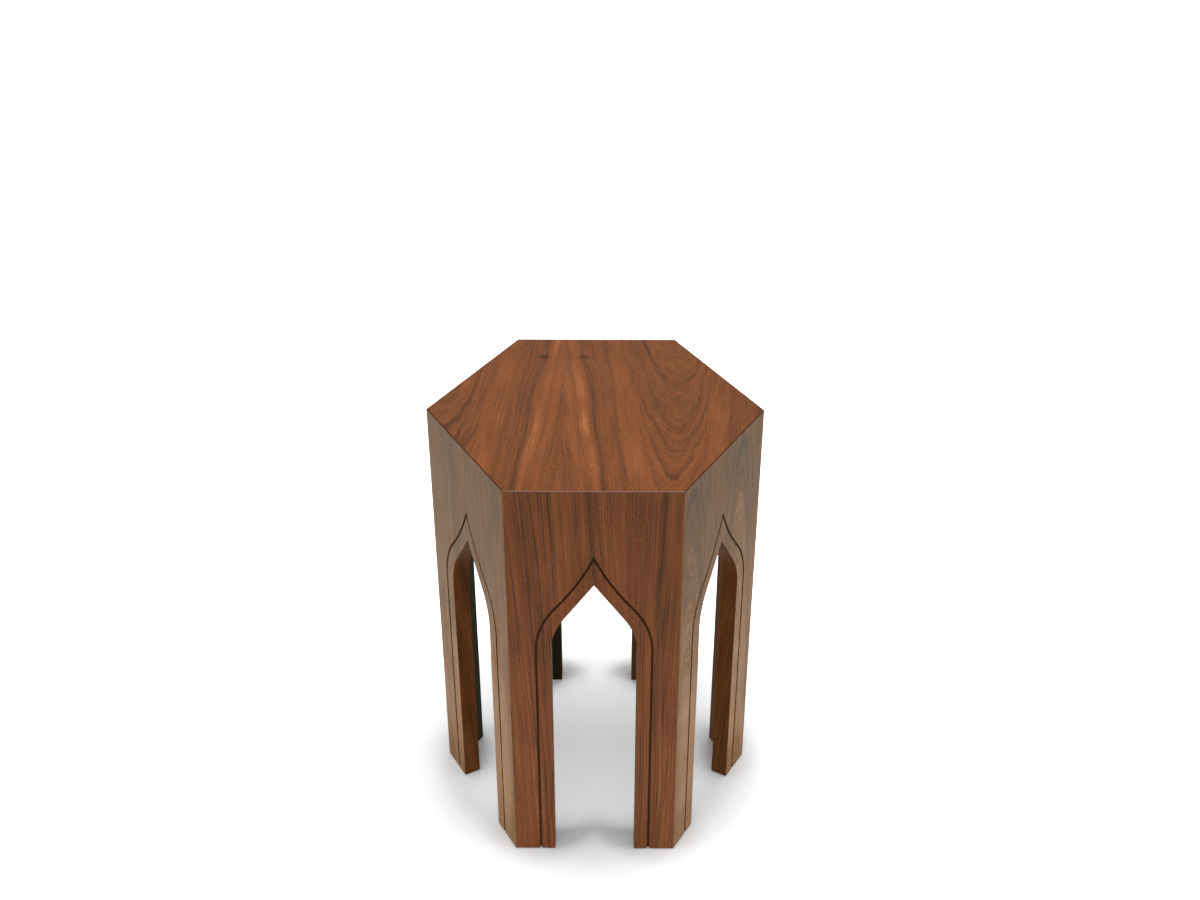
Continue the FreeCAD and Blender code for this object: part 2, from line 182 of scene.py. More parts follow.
def eased(step, radius):
    """How far a rounded edge has still to go sideways, and its depth, at one step of the turn."""
    if step > EASE_STEPS:
        return 0.0, VENEER
    angle = pi / 2 * step / EASE_STEPS
    return radius * (1 - sin(angle)), radius * (1 - cos(angle))


def make_side_field(number):
    """The face veneer outside the groove."""
    rows = []
    for step in range(EASE_STEPS + 2):
        short, depth = eased(step, LIP_EASE)
        lip = [on_side(across, depth, up) for across, up in ogee_path(GROOVE_WIDTH / 2 + short)]
        rows.append(mitred_edge(step) + lip[::-1])
    mesh = skin(f"side_field_{number}", rows, side_turn(number))
    return new_piece(f"side_field_{number}", mesh, f"side_face_veneer_{number}")


def make_arch_border(number):
    """The face veneer between the groove and the arch."""
    rows = []
    for step in range(EASE_STEPS + 2):
        short, depth = eased(step, LIP_EASE)
        lip = [on_side(across, depth, up) for across, up in ogee_path(-GROOVE_WIDTH / 2 - short)]
        opening = [on_side(across, depth, up) for across, up in arch_path(BAND)]
        rows.append(lip + opening[::-1])
    mesh = skin(f"arch_border_{number}", rows, side_turn(number))
    return new_piece(f"arch_border_{number}", mesh, f"side_face_veneer_{number}")


def make_arch_lining(number):
    """The edge band, with its two long edges rounded over."""
    section = [(BAND, 0.0)]
    section += [eased(step, ARCH_EASE) for step in range(EASE_STEPS + 1)]
    section += [(spread, BOARD - depth) for spread, depth in reversed(section)]
    work = bmesh.new()
    rails = [[work.verts.new(on_side(across, depth, up)) for across, up in arch_path(spread)]
             for spread, depth in section]
    for rail, following in zip(rails, rails[1:] + rails[:1]):
        for index in range(len(rail) - 1):
            work.faces.new((rail[index], rail[index + 1], following[index + 1], following[index]))
    work.faces.new([rail[0] for rail in rails])
    work.faces.new([rail[-1] for rail in reversed(rails)])
    mesh = finish_mesh(work, f"arch_lining_{number}", side_turn(number))
    return new_piece(f"arch_lining_{number}", mesh, f"arch_edge_band_{number}")


def top_corner(corner, step):
    """Three points that roll over the top's edge at one corner: along one side, the corner, the next."""
    angle = corner * TURN
    if step > EASE_STEPS:
        reach = (APOTHEM - VENEER) / cos(MITRE)
        return [Vector((reach * cos(angle), reach * sin(angle), HEIGHT - VENEER))] * 3
    slope = tan(BEVEL * step / EASE_STEPS)
    reach = (APOTHEM - OUTER_EASE) / cos(MITRE)
    core = Vector((reach * cos(angle), reach * sin(angle), HEIGHT - OUTER_EASE))
    rolls = []
    for turn, lean in ((-MITRE, slope), (0, slope / cos(MITRE)), (MITRE, slope)):
        rolls.append(Vector((lean * cos(angle + turn), lean * sin(angle + turn), 1)).normalized())
    return [core + OUTER_EASE * roll for roll in rolls]


def make_top_leaf(side, corners):
    """One leaf of the book-matched top, from its corners in anticlockwise order."""
    rows = []
    for step in range(EASE_STEPS + 2):
        row = []
        for corner in corners:
            row += top_corner(corner, step)
        seam_points = [Vector((SEAM, point.y, point.z)) for point in (row[-1], row[0])]
        rows.append(row + seam_points)
    mesh = skin(f"top_leaf_{side}", rows)
    return new_piece(f"top_leaf_{side}", mesh, f"top_veneer_{side}")


# Shader arithmetic

class Field:
    """A number that varies over a surface: the output of a shader node, with arithmetic on it."""

    def __init__(self, tree, socket):
        self.tree = tree
        self.socket = socket

    def math(self, operation, *others, clamp=False):
        node = self.tree.nodes.new("ShaderNodeMath")
        node.operation = operation
        node.use_clamp = clamp
        for index, value in enumerate((self,) + others):
            feed(self.tree, value, node.inputs[index])
        return Field(self.tree, node.outputs[0])

    def __add__(self, other):
        return self.math("ADD", other)

    def __sub__(self, other):
        return self.math("SUBTRACT", other)

    def __mul__(self, other):
        return self.math("MULTIPLY", other)

    def __truediv__(self, other):
        return self.math("DIVIDE", other)

    def __neg__(self):
        return self.math("MULTIPLY", -1.0)

    def __abs__(self):
        return self.math("ABSOLUTE")

    def root(self):
        return self.math("MAXIMUM", 0.0).math("SQRT")

    def clamped(self):
        return self.math("ADD", 0.0, clamp=True)

    def hump(self, centre, width):
        """1 at the centre, falling away as a bell of this half width."""
        scaled = (self - centre) / width
        return (-(scaled * scaled)).math("EXPONENT")

    def ramp(self, low, high, start=0.0, end=1.0):
        """Smoothly from start to end as the field goes from low to high."""
        node = self.tree.nodes.new("ShaderNodeMapRange")
        node.interpolation_type = "SMOOTHSTEP"
        for index, value in enumerate((self, low, high, start, end)):
            feed(self.tree, value, node.inputs[index])
        return Field(self.tree, node.outputs[0])


def feed(tree, value, socket):
    if isinstance(value, Field):
        tree.links.new(value.socket, socket)
    else:
        socket.default_value = value


@dataclass(frozen=True)
class Noise:
    """Noise about 0.5: its cells per metre across and along the grain, its octaves, their roughness
    and a seed that tells it from the other kinds."""
    across: float
    along: float
    octaves: float = 2.0
    roughness: float = 0.5
    seed: float = 0.0

    def on_leaf(self, across, along, seed):
        """The noise at a place on a thin leaf that has this seed."""
        return self.at(across * self.across, along * self.along, seed + self.seed)

    def in_board(self, across, inwards, up):
        """The noise at a place in a board whose grain runs upwards."""
        return self.at(across * self.across, inwards * self.across, up * self.along + self.seed)

    def at(self, *cells):
        tree = cells[0].tree
        place = tree.nodes.new("ShaderNodeCombineXYZ")
        for index, value in enumerate(cells):
            feed(tree, value, place.inputs[index])
        node = tree.nodes.new("ShaderNodeTexNoise")
        node.inputs["Scale"].default_value = 1.0
        node.inputs["Detail"].default_value = self.octaves
        node.inputs["Roughness"].default_value = self.roughness
        tree.links.new(place.outputs[0], node.inputs["Vector"])
        return Field(tree, node.outputs["Fac"])


def surface_place(tree, turn):
    """Across, inwards and up on a side that stands turned about the table's axis."""
    coordinates = tree.nodes.new("ShaderNodeTexCoord")
    rotate = tree.nodes.new("ShaderNodeVectorRotate")
    rotate.rotation_type = "Z_AXIS"
    rotate.inputs["Angle"].default_value = -turn
    split = tree.nodes.new("ShaderNodeSeparateXYZ")
    tree.links.new(coordinates.outputs["Object"], rotate.inputs["Vector"])
    tree.links.new(rotate.outputs[0], split.inputs[0])
    return [Field(tree, output) for output in split.outputs]


def hexagon_reach(across, inwards):
    """How far out a place is towards the nearest side; on a side it is the apothem."""
    reach = abs(inwards)
    for turn in (MITRE, -MITRE):
        reach = reach.math("MAXIMUM", abs(across * cos(turn) + inwards * sin(turn)))
    return reach


def new_material(name, color):
    """A material with a bare shader; the colour is the one that solid views show."""
    material = bpy.data.materials.new(name)
    material.use_nodes = True
    material.diffuse_color = (*color, 1)
    return material, material.node_tree, material.node_tree.nodes["Principled BSDF"]


def tinted(tone, tones):
    """The colour that a tone from 0 to 1 has on a scale of colours."""
    tree = tone.tree
    node = tree.nodes.new("ShaderNodeValToRGB")
    ramp = node.color_ramp
    for _ in range(len(tones) - 2):
        ramp.elements.new(0.5)
    for element, (place, color) in zip(ramp.elements, tones):
        element.position = place
        element.color = (*color, 1)
    feed(tree, tone, node.inputs["Fac"])
    return node.outputs["Color"]


def blended(share, first, second):
    """From the first colour to the second as share goes from 0 to 1."""
    tree = share.tree
    node = tree.nodes.new("ShaderNodeMix")
    node.data_type = "RGBA"
    feed(tree, share, node.inputs["Factor"])
    for color, socket in ((first, node.inputs["A"]), (second, node.inputs["B"])):
        if isinstance(color, tuple):
            socket.default_value = (*color, 1)
        else:
            tree.links.new(color, socket)
    return node.outputs["Result"]


def add_bump(tree, shader, height, strength, distance):
    bump = tree.nodes.new("ShaderNodeBump")
    bump.inputs["Strength"].default_value = strength
    bump.inputs["Distance"].default_value = distance
    feed(tree, height, bump.inputs["Height"])
    tree.links.new(bump.outputs[0], shader.inputs["Normal"])


# Walnut

WALNUT = (
    (0.00, (0.053, 0.028, 0.016)),
    (0.25, (0.123, 0.047, 0.021)),
    (0.50, (0.218, 0.074, 0.027)),
    (0.75, (0.308, 0.102, 0.035)),
    (1.00, (0.450, 0.168, 0.060)),
)
# Walnut for the sides other than the front: greyer, with the grey sheen they reflect at a slant painted
# into it, and paler grey at its light end for the light painted on their legs.
PAINTED_SHEEN_WALNUT = (
    (0.00, (0.050, 0.040, 0.022)),
    (0.25, (0.112, 0.060, 0.024)),
    (0.45, (0.194, 0.088, 0.028)),
    (0.75, (0.316, 0.166, 0.079)),
    (1.00, (0.428, 0.248, 0.132)),
)
EDGE_WALNUT = (
    (0.00, (0.045, 0.022, 0.008)),
    (0.25, (0.102, 0.038, 0.012)),
    (0.50, (0.182, 0.061, 0.016)),
    (0.75, (0.258, 0.084, 0.021)),
    (1.00, (0.376, 0.138, 0.036)),
)

# The arris round the top, dark along its edge, with a highlight painted pale along the front. Each pair
# says how far from the edge, or below the top's face, it starts and is full.
ARRIS_DARK = (0.074, 0.020, 0.006)
ARRIS_HIGHLIGHT = (0.380, 0.220, 0.170)
ARRIS_ON_SIDE = (0.0011, 0.0008)
HIGHLIGHT_ON_SIDE = (0.0008, 0.0004)
ARRIS_ON_TOP = (0.0013, 0.0008)
HIGHLIGHT_ON_TOP = (0.0009, 0.0004)

# Slow changes: how rings sway and wobble, and how they ripple near the middle of a nest of arches.
SWAY = Noise(7.0, 2.6, octaves=1.0)
WOBBLE = Noise(50.0, 9.0, seed=3.1)
RIPPLE = Noise(32.0, 22.0, octaves=3.0, seed=5.5)
FEATHER = Noise(300.0, 12.0, octaves=1.0, seed=6.3)
WOBBLE_REACH = 0.0024
NEST_HALF_WIDTH = 0.06
NEST_BLEND = 0.004

# How much of its lean a leaning grain keeps, between two places across.
LEAN_ACROSS = (0.02, 0.08, 1.0, -0.7)

# Changes of tone across the rings, from broad bands to single vessels, and how much each one counts.
BROAD = Noise(42.0, 1.3, roughness=0.55, seed=7.3)
NARROW = Noise(190.0, 2.0, octaves=3.0, roughness=0.6, seed=11.9)
FINE = Noise(560.0, 16.0, roughness=0.65, seed=17.7)
CLOUD = Noise(26.0, 12.0, seed=21.7)
GRIT = Noise(700.0, 210.0, roughness=0.7, seed=23.9)
PORES = Noise(2400.0, 160.0, octaves=1.0, seed=31.0)
FINE_SHARE = 0.62
CLOUD_SHARE = 0.26
GRIT_SHARE = 0.60
PORE_RANGE = (0.58, 0.70)
PORE_DARKNESS = 0.14
MIDDLE_TONE = 0.53

# Years: how unevenly they are spaced, when their dark late wood comes and goes, and where it shows.
YEAR_SPREAD = Noise(24.0, 0.7, octaves=1.0, seed=27.3)
YEARS_ADRIFT = 20.0
CORE_SQUEEZE = 0.4
LATE_COMES = (0.35, 0.90)
LATE_GOES = (1.0, 0.93)
YEAR_PATCH = Noise(75.0, 5.0, octaves=1.0, seed=29.1)
PATCH_RANGE = (0.42, 0.68)
LEAST_LATE = 0.15

# How uneven a streak is, and how a line fades in about its low end and out about its high end.
STREAK_UNEVENNESS = 2.2
LOW_FADE = (-0.03, 0.02)
HIGH_FADE = (0.03, -0.01)

# A knot's half widths across and along, its darkness, and how it pushes the grain aside.
KNOT = (0.0085, 0.0052)
KNOT_SWELL = (0.009, 0.022)
KNOT_PUSH = 0.004
KNOT_DARKNESS = 0.30

# Heights between which a side gets paler towards the floor, a painted light, and its feet darker.
PAINTED_LIGHT_HEIGHTS = (0.46, 0.06)
FOOT_HEIGHTS = (0.08, 0.02)

# The satin lacquer.
LACQUER = Noise(240.0, 20.0, seed=41.0)
LACQUER_ROUGHNESS = (0.34, 0.44)
HAZE_ROUGHNESS = 0.27
HAZE_TINT = (0.68, 0.86, 0.30, 1)


@dataclass(frozen=True)
class Grain:
    """How one leaf of walnut is figured.

    Each figure is the middle of a nest of arches: its place across, where the nest would close, and
    how quickly its arches open. Each streak is its place across the rings, its half width and how
    much lighter it is. Each line is its place across at the top of the side, its slant, its half
    width, how much lighter it is, and the heights between which it shows. Each knot is its place
    across and along. Rings nearer the middle than core are wider. The rest say how strongly the leaf
    shows each kind of change.
    """
    figures: tuple = ()
    streaks: tuple = ()
    lines: tuple = ()
    knots: tuple = ()
    lift: float = 0.0
    lean: float = 0.0
    sway: float = 0.014
    ripple: float = 0.0
    feather: float = 0.0
    broad: float = 0.55
    narrow: float = 0.35
    year: float = 0.0034
    latewood: float = 0.20
    core: float = 0.0


@dataclass(frozen=True)
class Wood:
    """Walnut at a place: how light it is from 0 to 1, its open pores, its finest streaks, and where
    the place lies across the bent grain and along it."""
    tone: Field
    pores: Field
    fine: Field
    bent: Field
    along: Field


def push_aside(bent, along, knots):
    """The grain's place across once knots have bent it, and how dark each place is for them."""
    shade = None
    for knot_across, knot_along in knots:
        knot = bent.hump(knot_across, KNOT[0]) * along.hump(knot_along, KNOT[1])
        swell = bent.hump(knot_across, KNOT_SWELL[0]) * along.hump(knot_along, KNOT_SWELL[1])
        bent = bent + swell * KNOT_PUSH
        shade = knot if shade is None else shade + knot
    return bent, shade


def rings(bent, across, along, grain, seed):
    """The place across the growth rings, which ripple near the middle of a nest and may lean."""
    wave = None
    if grain.ripple:
        ripple = RIPPLE.on_leaf(across, along, seed) - 0.5
        feather = FEATHER.on_leaf(across, along, seed) - 0.5
        wave = ripple * grain.ripple + feather * grain.feather
    nearest = None
    for centre, base, opening in grain.figures:
        sideways = bent - centre
        wavy = along if wave is None else along + wave * bent.hump(centre, NEST_HALF_WIDTH)
        ring = (sideways * sideways + (wavy - base) * opening).root()
        nearest = ring if nearest is None else nearest.math("SMOOTH_MIN", ring, NEST_BLEND)
    ring = bent if nearest is None else nearest
    if grain.lean:
        ring = ring + (along - HEIGHT) * grain.lean * across.ramp(*LEAN_ACROSS)
    return ring


def late_wood(ring, along, grain, seed):
    """How dark the wood is for the end of a year's growth."""
    age = ring
    if grain.core:
        age = ring.math("MAXIMUM", grain.core) + ring.math("MINIMUM", grain.core) * CORE_SQUEEZE
    spread = YEAR_SPREAD.on_leaf(ring, along, seed) - 0.5
    year = (age / grain.year + spread * YEARS_ADRIFT).math("FRACT")
    late = year.ramp(*LATE_COMES) * year.ramp(*LATE_GOES)
    patch = YEAR_PATCH.on_leaf(ring, along, seed).ramp(*PATCH_RANGE)
    return late * (patch + LEAST_LATE) * grain.latewood


def walnut(across, along, grain, seed, shift=None):
    """The wood at a place across and along its grain, with its rings shifted across."""
    sway = SWAY.on_leaf(across, along, seed) - 0.5
    wobble = WOBBLE.on_leaf(across, along, seed) - 0.5
    bent, knots = push_aside(across + sway * grain.sway + wobble * WOBBLE_REACH, along, grain.knots)
    ring = rings(bent, across, along, grain, seed)
    if shift is not None:
        ring = ring + shift
    broad = BROAD.on_leaf(ring, along, seed) - 0.5
    narrow = NARROW.on_leaf(ring, along, seed) - 0.5
    fine = FINE.on_leaf(ring, along, seed) - 0.5
    cloud = CLOUD.on_leaf(bent, along, seed) - 0.5
    grit = GRIT.on_leaf(across, along, seed) - 0.5
    pores = PORES.on_leaf(across, along, seed).ramp(*PORE_RANGE)
    tone = broad * grain.broad + narrow * grain.narrow
    tone = tone + fine * FINE_SHARE + cloud * CLOUD_SHARE + grit * GRIT_SHARE
    tone = tone - late_wood(ring, along, grain, seed) + (MIDDLE_TONE + grain.lift)
    for centre, width, strength in grain.streaks:
        tone = tone + ring.hump(centre, width) * (cloud * STREAK_UNEVENNESS + 1.0) * strength
    for centre, slant, width, strength, low, high in grain.lines:
        shown = along.ramp(*[low + fade for fade in LOW_FADE])
        shown = shown * along.ramp(*[high + fade for fade in HIGH_FADE])
        place = bent + (along - HEIGHT) * slant
        tone = tone + place.hump(centre, width) * shown * strength
    tone = tone - pores * PORE_DARKNESS
    if knots is not None:
        tone = tone - knots * KNOT_DARKNESS
    return Wood(tone.clamped(), pores, fine, bent, along)


def near_edge(place, edge, distances):
    """From 0 to 1 as a place comes nearer to an edge than two distances."""
    far, near = distances
    return place.ramp(edge - far, edge - near)


def lacquer(tree, shader, wood, color, seed, gloss, haze):
    """Satin lacquer over the wood; haze is the bloom that it shows when seen at a slant."""
    tree.links.new(color, shader.inputs["Base Color"])
    rough = LACQUER.on_leaf(wood.bent, wood.along, seed).ramp(0.2, 0.8, *LACQUER_ROUGHNESS)
    feed(tree, rough, shader.inputs["Roughness"])
    shader.inputs["Specular IOR Level"].default_value = gloss
    shader.inputs["Sheen Weight"].default_value = haze
    shader.inputs["Sheen Roughness"].default_value = HAZE_ROUGHNESS
    shader.inputs["Sheen Tint"].default_value = HAZE_TINT
    add_bump(tree, shader, wood.fine - wood.pores, strength=0.2, distance=0.0001)


def side_walnut(number, grain):
    """A side's veneer, with light painted in to make it paler towards the floor; the front one is
    redder, and the others are greyer with a grey sheen painted in.
    """
    material, tree, shader = new_material(f"walnut_side_{number}", (0.20, 0.065, 0.020))
    across, _, up = surface_place(tree, TURN * (number - 1))
    seed = 5.0 * number
    wood = walnut(across, up, grain, seed)
    if number == 1:
        tones, painted_light_high, painted_light_low, foot_lift, gloss = WALNUT, 0.01, 0.12, 0.0, 0.07
    else:
        tones, painted_light_high, painted_light_low, foot_lift, gloss = PAINTED_SHEEN_WALNUT, -0.09, 0.22, -0.10, 0.037
    # Painted light: the side gets paler towards the floor.
    tone = wood.tone + up.ramp(*PAINTED_LIGHT_HEIGHTS, painted_light_high, painted_light_low)
    tone = tone + up.ramp(*FOOT_HEIGHTS, 0.0, foot_lift)
    color = blended(near_edge(up, HEIGHT, ARRIS_ON_SIDE), tinted(tone, tones), ARRIS_DARK)
    # A highlight painted pale along the front's top edge.
    if number == 1:
        color = blended(near_edge(up, HEIGHT, HIGHLIGHT_ON_SIDE), color, ARRIS_HIGHLIGHT)
    lacquer(tree, shader, wood, color, seed, gloss, haze=0.12)
    return material


TOP_GRAIN = Grain(
    figures=((0.142, 0.0, 0.0116),),
    streaks=(
        (0.1332, 0.0066, 0.24), (0.1216, 0.0045, -0.19), (0.1400, 0.0012, -0.08),
        (0.1470, 0.0035, 0.10), (0.1545, 0.0025, -0.07), (0.1610, 0.0030, -0.10),
        (0.1685, 0.0025, 0.07), (0.1100, 0.0140, -0.05), (0.0920, 0.0050, -0.09),
        (0.0780, 0.0070, 0.10), (0.0508, 0.0013, -0.22), (0.0386, 0.0018, -0.18),
        (0.0600, 0.0030, -0.07)),
    knots=((0.026, 0.047),),
    lift=0.06, sway=0.006, ripple=0.088, feather=0.020, broad=0.29, narrow=0.31, year=0.0028,
    latewood=0.19, core=0.088)


# How differently the two leaves are figured, and how wide the change between them is.
LEAF_DIFFERENCE = 0.35
SEAM_BLUR = 0.001


def top_shift(outwards, from_back):
    """How far the top's rings are shifted across, by the distances from the seam and the back edge."""
    # Beside the seam they lean, and sweep one way behind the middle and the other way before it.
    lean = outwards.ramp(0.0, 0.034, 0.040, 0.048) * outwards.ramp(0.035, 0.075, 1.0, 0.0)
    sweep = from_back.hump(0.118, 0.045) * 0.0022 - from_back.hump(0.222, 0.045) * 0.0024
    shift = from_back * lean + sweep * outwards.ramp(0.0, 0.030) * outwards.ramp(0.04, 0.08, 1.0, 0.0)
    # Towards the right tip they are shifted further.
    return shift + (outwards + from_back * 0.17).ramp(0.175, 0.235) * 0.015


def top_walnut():
    """Both leaves read the same figure outwards from the seam, as leaves opened like a book."""
    material, tree, shader = new_material("walnut_top", (0.22, 0.075, 0.022))
    across, towards_back, _ = surface_place(tree, 0.0)
    outwards = abs(across - SEAM)
    from_back = -(towards_back - APOTHEM)
    leaf = across.ramp(SEAM - SEAM_BLUR, SEAM + SEAM_BLUR) * LEAF_DIFFERENCE
    seed = 2.0
    wood = walnut(outwards, from_back, TOP_GRAIN, leaf + seed, top_shift(outwards, from_back))
    # Darker towards the left, the front, the back and the right tip.
    margin = across.ramp(-0.15, -0.06, -0.05, 0.0) + towards_back.ramp(-0.17, -0.12, -0.06, 0.0)
    margin = margin + towards_back.ramp(0.11, 0.16, 0.0, -0.03) + outwards.ramp(0.175, 0.195, 0.0, -0.04)
    arris = near_edge(hexagon_reach(across, towards_back), APOTHEM, ARRIS_ON_TOP)
    # A highlight painted pale along the front arris.
    painted_highlight = towards_back.ramp(*[distance - APOTHEM for distance in HIGHLIGHT_ON_TOP])
    arris_color = blended(painted_highlight, ARRIS_DARK, ARRIS_HIGHLIGHT)
    color = blended(arris, tinted(wood.tone + margin, WALNUT), arris_color)
    lacquer(tree, shader, wood, color, seed, gloss=0.06, haze=0.14)
    return material


def edge_walnut(number):
    """The band round an arch, whose grain slants across its narrow width."""
    material, tree, shader = new_material(f"walnut_edge_{number}", (0.14, 0.045, 0.012))
    _, inwards, up = surface_place(tree, TURN * (number - 1))
    seed = 60.0 + number
    wood = walnut(inwards + up * 0.12, up, Grain(lift=-0.10, sway=0.03), seed)
    lacquer(tree, shader, wood, tinted(wood.tone, EDGE_WALNUT), seed, gloss=0.02, haze=0.0)
    return material


# The other materials

def dull_board(name, shown, streaks, tones, roughness, gloss):
    """Unlacquered board in soft streaks along Z, with a little tooth.

    It has one pair of a dark and a light tone, or two pairs, for the table's left half and its right,
    which paint shade on the left half and light on the right.
    """
    material, tree, shader = new_material(name, shown)
    across, inwards, up = surface_place(tree, 0.0)
    streak = streaks.in_board(across, inwards, up)
    colors = [tinted(streak.ramp(0.3, 0.7), ((0.0, dark), (1.0, light))) for dark, light in tones]
    color = colors[0]
    # Two pairs paint shade on the left half and light on the right.
    if len(colors) > 1:
        color = blended(across.ramp(-0.02, 0.06), *colors)
    tree.links.new(color, shader.inputs["Base Color"])
    shader.inputs["Roughness"].default_value = roughness
    shader.inputs["Specular IOR Level"].default_value = gloss
    add_bump(tree, shader, streak, strength=0.3, distance=0.0002)
    return material


def zinc():
    material, tree, shader = new_material("zinc", (0.55, 0.55, 0.57))
    cloud = Noise(900.0, 900.0, octaves=3.0).in_board(*surface_place(tree, 0.0))
    color = tinted(cloud.ramp(0.3, 0.7), ((0.0, (0.42, 0.42, 0.44)), (1.0, (0.62, 0.62, 0.63))))
    tree.links.new(color, shader.inputs["Base Color"])
    feed(tree, cloud.ramp(0.2, 0.8, 0.28, 0.45), shader.inputs["Roughness"])
    shader.inputs["Metallic"].default_value = 1.0
    return material


def nylon():
    material, tree, shader = new_material("nylon", (0.03, 0.02, 0.015))
    cloud = Noise(1200.0, 1200.0, octaves=3.0).in_board(*surface_place(tree, 0.0))
    color = tinted(cloud, ((0.0, (0.020, 0.014, 0.011)), (1.0, (0.040, 0.028, 0.022))))
    tree.links.new(color, shader.inputs["Base Color"])
    feed(tree, cloud.ramp(0.2, 0.8, 0.5, 0.65), shader.inputs["Roughness"])
    return material


def paint(target, material):
    """Give a piece or a node one material."""
    target.data.materials.clear()
    target.data.materials.append(material)


# Stage, lights and camera

FLOOR_RADIUS = 12.0
FLOOR_COLOR = (0.865, 0.885, 0.90)
# The floor's glow, with the table's shadow painted into it: its offset, squash, darkest rim, and how
# near a thing must stand to darken it.
GLOW_LEFT = 0.010
GLOW_SQUASH = 1.06
RIM_SHADOW = 0.17
CONTACT_SHADOW_REACH = 0.04
CAMERA_PLACE = (0.0171, -1.6261, 1.5378)
CAMERA_PITCH = radians(32.521)
CAMERA_YAW = radians(0.399)
IMAGE_WIDTH = 1200
SENSOR_WIDTH = 36
FOCAL_PIXELS = 1580.3
SKY_LEVEL = 0.45
CEILING_LEVEL = 0.25
CEILING_RISE = (0.28, 0.50)
SEEN_RAYS = ("Is Camera Ray", "Is Glossy Ray", "Is Transmission Ray")

# Name, place, target, size in metres and power in watts.
LAMPS = (
    ("overhead", (0.0, -0.3, 2.5), (0, 0, 0), 1.5, 25),
    ("front", (0.0, -2.4, 3.1), (0, 0, 0.3), 0.9, 9),
    ("left", (-0.66, -0.22, 0.10), (-0.1, -0.1, 0.05), 0.16, 0.9),
    ("right", (0.66, -0.22, 0.10), (0.1, -0.1, 0.05), 0.16, 0.9),
)


def seen(tree):
    """1 for the rays that show the background: those that look, mirror or pass through glass."""
    path = tree.nodes.new("ShaderNodeLightPath")
    looks = Field(tree, path.outputs[SEEN_RAYS[0]])
    for ray in SEEN_RAYS[1:]:
        looks = looks.math("MAXIMUM", Field(tree, path.outputs[ray]))
    return looks


def floor_glow_with_painted_shadow(tree):
    """How much the floor shines where it is seen: little under the table, where this paints its shadow,
    and white away from it.
    """
    across, inwards, _ = surface_place(tree, 0.0)
    sideways = abs(across)
    beside = across + GLOW_LEFT
    radius = (beside * beside + inwards * inwards * GLOW_SQUASH).root()
    # Painted shadows: darker round the feet in front, and between the two front feet and the two rear
    # ones.
    rim_shadow = radius.hump(0.185, 0.027) * inwards.ramp(0.02, 0.12, 1.0, 0.0)
    front = (inwards + sideways * 0.4).hump(-0.140, 0.020) * sideways.ramp(0.0, 0.05, 0.27, 0.36)
    front = front * sideways.ramp(0.052, 0.062, 1.0, 0.0)
    rear = (inwards - sideways * 0.2).hump(0.172, 0.020) * sideways.ramp(0.0, 0.05, 0.0, 0.42)
    # A painted contact shadow: less where something stands close by.
    contact_shadow_node = tree.nodes.new("ShaderNodeAmbientOcclusion")
    contact_shadow_node.samples = 8
    contact_shadow_node.inputs["Distance"].default_value = CONTACT_SHADOW_REACH
    contact_shadow_factor = Field(tree, contact_shadow_node.outputs["AO"]).ramp(0.6, 1.0, 0.4, 1.0)
    # More behind the middle, and white outside the table.
    behind = inwards.ramp(0.0, 0.16, 0.33, 0.53) + inwards.ramp(0.17, 0.23, 0.0, 0.2)
    away = behind + radius.ramp(0.225, 0.30, 0.0, 0.67)
    return (away - rim_shadow * RIM_SHADOW - front - rear).math("MAXIMUM", 0.0) * contact_shadow_factor


def make_floor():
    """A pale floor that keeps the table's shadow, with more shadow painted into its glow, and turns
    white away from it.
    """
    bpy.ops.mesh.primitive_circle_add(vertices=128, radius=FLOOR_RADIUS, fill_type="NGON")
    floor = bpy.context.object
    floor.name = "floor"
    material, tree, shader = new_material("floor", FLOOR_COLOR)
    shader.inputs["Base Color"].default_value = (*FLOOR_COLOR, 1)
    shader.inputs["Roughness"].default_value = 1.0
    shader.inputs["Specular IOR Level"].default_value = 0.0
    glow = tree.nodes.new("ShaderNodeEmission")
    feed(tree, floor_glow_with_painted_shadow(tree) * seen(tree), glow.inputs["Strength"])
    add = tree.nodes.new("ShaderNodeAddShader")
    tree.links.new(shader.outputs[0], add.inputs[0])
    tree.links.new(glow.outputs[0], add.inputs[1])
    tree.links.new(add.outputs[0], tree.nodes["Material Output"].inputs["Surface"])
    paint(floor, material)


def make_world():
    """White around the horizon and dimmer overhead where it is seen; a plain level for the rest."""
    world = bpy.data.worlds.new("studio")
    bpy.context.scene.world = world
    world.use_nodes = True
    tree = world.node_tree
    tree.nodes.clear()
    coordinates = tree.nodes.new("ShaderNodeTexCoord")
    split = tree.nodes.new("ShaderNodeSeparateXYZ")
    tree.links.new(coordinates.outputs["Generated"], split.inputs[0])
    shown = Field(tree, split.outputs["Z"]).ramp(*CEILING_RISE, 1.0, CEILING_LEVEL)
    looks = seen(tree)
    background = tree.nodes.new("ShaderNodeBackground")
    feed(tree, looks * shown + (-(looks - 1.0)) * SKY_LEVEL, background.inputs["Strength"])
    background.inputs["Color"].default_value = (1, 1, 1, 1)
    output = tree.nodes.new("ShaderNodeOutputWorld")
    tree.links.new(background.outputs[0], output.inputs[0])


def make_lamp(name, place, target, size, power):
    data = bpy.data.lights.new(name, "AREA")
    data.shape = "DISK"
    data.size = size
    data.energy = power
    lamp = bpy.data.objects.new(name, data)
    lamp.location = place
    lamp.visible_camera = False
    lamp.rotation_euler = (Vector(target) - Vector(place)).to_track_quat("-Z", "Y").to_euler()
    bpy.context.scene.collection.objects.link(lamp)


def make_camera():
    data = bpy.data.cameras.new("camera")
    data.sensor_width = SENSOR_WIDTH
    data.lens = FOCAL_PIXELS * SENSOR_WIDTH / IMAGE_WIDTH
    camera = bpy.data.objects.new("camera", data)
    camera.location = CAMERA_PLACE
    camera.rotation_euler = (pi / 2 - CAMERA_PITCH, 0, CAMERA_YAW)
    bpy.context.scene.collection.objects.link(camera)
    bpy.context.scene.camera = camera


# The table

